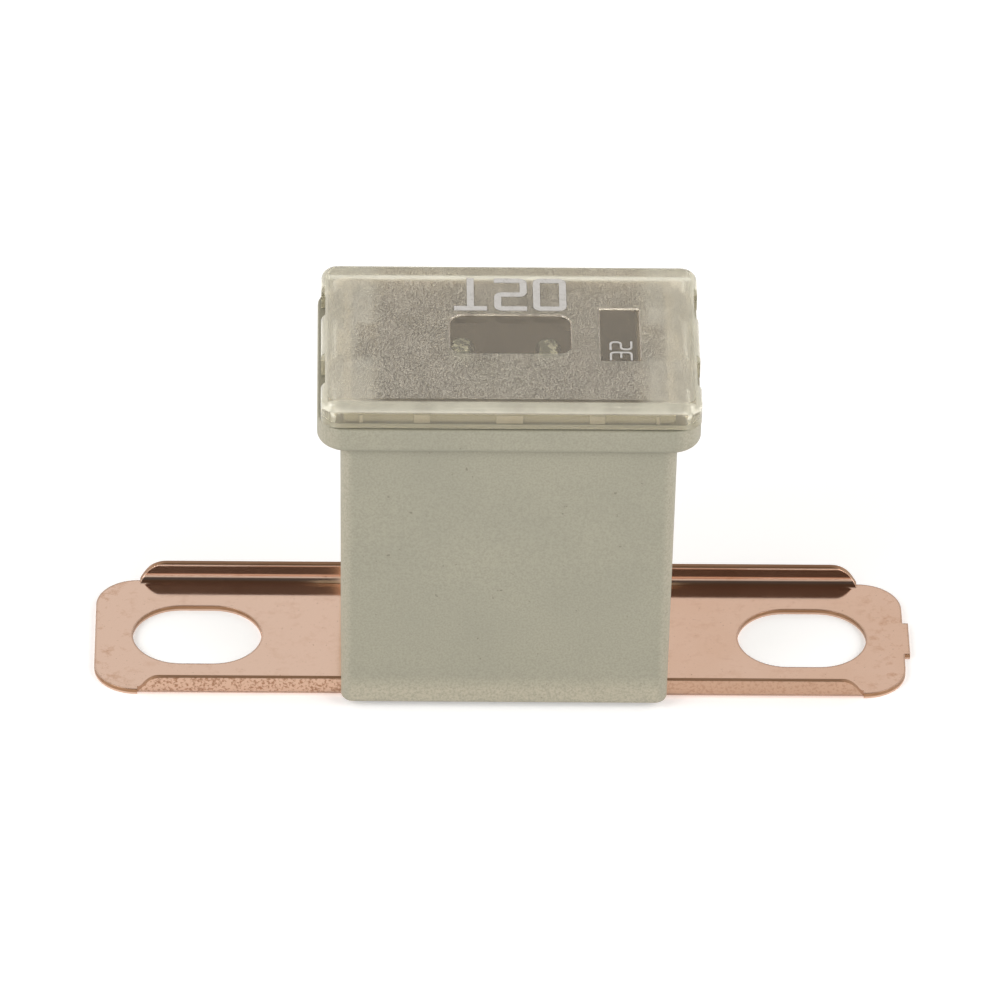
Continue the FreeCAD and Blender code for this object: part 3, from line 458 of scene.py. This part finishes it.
def two(width, height, stroke):
    half = stroke / 2
    left, right, low, high, centre = half, width - half, half, height - half, height / 2
    bend = [(0, high), (right, high), (right, centre), (left, centre), (left, low), (width, low)]
    return [(bend, False)]


def three(width, height, stroke):
    half = stroke / 2
    right, low, high = width - half, half, height - half
    bend = [(0, high), (right, high), (right, low), (0, low)]
    bar = [(width * 0.3, height / 2), (right - half, height / 2)]
    return [(bend, False), (bar, False)]


def zero(width, height, stroke):
    half = stroke / 2
    left, right, low, high = half, width - half, half, height - half
    ring = [(left, low), (right, low), (right, high), (left, high)]
    return [(ring, True)]


def add_number(name, shape, corner, size, stroke, radius, turn):
    """Stands a number of size, its width and height, on the cover. corner is the left end of its foot."""
    item = stroke_mesh(name, shape(*size, stroke), stroke, radius)
    item.matrix_world = Matrix.Translation(corner) @ Matrix.Rotation(turn, 4, "Z")
    paint(item, stroke_plastic)
    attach(item, "root")


stroke_plastic = moulded_strokes()
cover_x = (cover_low.x + cover_high.x) / 2

# Behind the window: each number's left and right edges, in millimetres from the cover's middle
BIG_STYLE = {"stroke": 0.47 * MM, "radius": 0.28 * MM, "turn": 0}
BIG_FOOT = 2.63 * MM
BIG_HEIGHT = 3.7 * MM
for name, shape, left, right in (
    ("number_1", one, -3.68, -1.5),
    ("number_2", two, -1.03, 1.13),
    ("number_0", zero, 1.53, 3.72),
):
    corner = Vector((cover_x + left * MM, BIG_FOOT, cover_high.z))
    add_number(name, shape, corner, ((right - left) * MM, BIG_HEIGHT), **BIG_STYLE)

# In the sunken patch: turned to read from the right, with each number's start in millimetres
SMALL_STYLE = {"stroke": 0.14 * MM, "radius": 0.25 * MM, "turn": math.pi / 2}
SMALL_FOOT = 7.95 * MM
SMALL_SIZE = (0.96 * MM, 1.5 * MM)
PATCH_DEPTH = 0.12 * MM
for name, shape, start in (("small_3", three, -2.84), ("small_2", two, -1.66)):
    corner = Vector((cover_x + SMALL_FOOT, start * MM, cover_high.z - PATCH_DEPTH))
    add_number(name, shape, corner, SMALL_SIZE, **SMALL_STYLE)


# Floor, light and camera

FLOOR_HALF = 1.5
FLOOR_DROP = 0.01 * MM
SIDE_LIGHT = 1.15
LAMP_SIZE = 0.35
LAMP_AIM = Vector((0, 0, 0.012))


def add_floor():
    """A white floor under the legs: bright to the eye, and it keeps the soft shadow."""
    mesh = bpy.data.meshes.new("floor")
    corners = [(x * FLOOR_HALF, y * FLOOR_HALF, 0) for x, y in ((-1, -1), (1, -1), (1, 1), (-1, 1))]
    mesh.from_pydata(corners, [], [(0, 1, 2, 3)])
    floor = bpy.data.objects.new("floor", mesh)
    bpy.context.collection.objects.link(floor)
    floor.location.z = -FLOOR_DROP
    material, graph = new_material("WhiteFloor")
    path = graph.add("LightPath").outputs
    seen = graph.either(path["Is Camera Ray"], path["Is Glossy Ray"], path["Is Transmission Ray"])
    white = graph.add("BsdfDiffuse", {"Color": rgb(0.82, 0.82, 0.82)})
    glow = graph.add("Emission", {"Color": rgb(1, 1, 1), "Strength": graph.times(seen, 0.35)})
    both = graph.add("AddShader", {0: white.outputs[0], 1: glow.outputs[0]})
    graph.finish(both.outputs[0])
    paint(floor, material)


def add_sky():
    """A white room with lit sides and a pale back wall. A dark strip crosses above and in front."""
    world = bpy.data.worlds.new("Room")
    bpy.context.scene.world = world
    graph = Graph(world)
    x, y, z = graph.axes(graph.add("TexCoord").outputs["Generated"])
    beside = graph.scaled(graph.size_of(x), 0.22, 0.5)
    back_wall = graph.scaled(y, 0.35, 0.7, 0.065, 0.67)
    front = graph.scaled(y, -0.4, -0.75, 0, 0.075)
    low_front = graph.times(graph.scaled(y, -0.5, -0.8), graph.scaled(z, 0.5, 0.35, 0, 0.6))
    strip = graph.either(back_wall, front, low_front)
    lift = graph.times(beside, graph.minus(SIDE_LIGHT, strip))
    overhead = graph.scaled(graph.either(graph.size_of(y), beside), 0.5, 0.35)
    colour = graph.blend(overhead, rgb(1, 0.985, 0.96), rgb(1, 0.66, 0.45))
    sky = graph.add("Background", {"Color": colour, "Strength": graph.plus(strip, lift)})
    graph.finish(sky.outputs[0], "World")


def add_lamp(name, place, power):
    light = bpy.data.lights.new(name, "AREA")
    light.shape = "DISK"
    light.size = LAMP_SIZE
    light.energy = power
    lamp = bpy.data.objects.new(name, light)
    lamp.location = place
    lamp.rotation_euler = (LAMP_AIM - Vector(place)).to_track_quat("-Z", "Y").to_euler()
    bpy.context.collection.objects.link(lamp)


def add_camera():
    """A long lens 35.5 degrees above the front, with the photograph's slight turn and tilt."""
    above, turned, tilted = (math.radians(angle) for angle in (35.5, 1.33, 1.13))
    pixels_across = 1000
    focal_pixels = 10234
    pixels_per_metre = 14970
    sensor_width = 36
    plate_top = Vector((0, 0, STRIP_GAUGE))
    plate_pixel = Vector((499.6, 636.35))
    turn = Matrix.Rotation(-turned, 4, "Z") @ Matrix.Rotation(math.pi / 2 - above, 4, "X")
    turn = turn @ Matrix.Rotation(tilted, 4, "Z")
    distance = focal_pixels / pixels_per_metre
    right, up, back = (turn.to_3x3() @ Vector(axis) for axis in ((1, 0, 0), (0, 1, 0), (0, 0, 1)))
    across = (plate_pixel.x - pixels_across / 2) / pixels_per_metre
    down = (plate_pixel.y - pixels_across / 2) / pixels_per_metre
    data = bpy.data.cameras.new("Camera")
    data.sensor_fit = "HORIZONTAL"
    data.sensor_width = sensor_width
    data.lens = sensor_width * focal_pixels / pixels_across
    data.clip_start = 0.01
    camera = bpy.data.objects.new("Camera", data)
    camera.matrix_world = Matrix.Translation(plate_top - right * across + up * down + back * distance) @ turn
    bpy.context.collection.objects.link(camera)
    bpy.context.scene.camera = camera


add_floor()
add_sky()
add_lamp("Left", (-0.42, -0.3, 0.38), 1.3)
add_lamp("Right", (0.42, -0.3, 0.38), 1.1)
add_camera()
bpy.context.scene.view_settings.view_transform = "Standard"
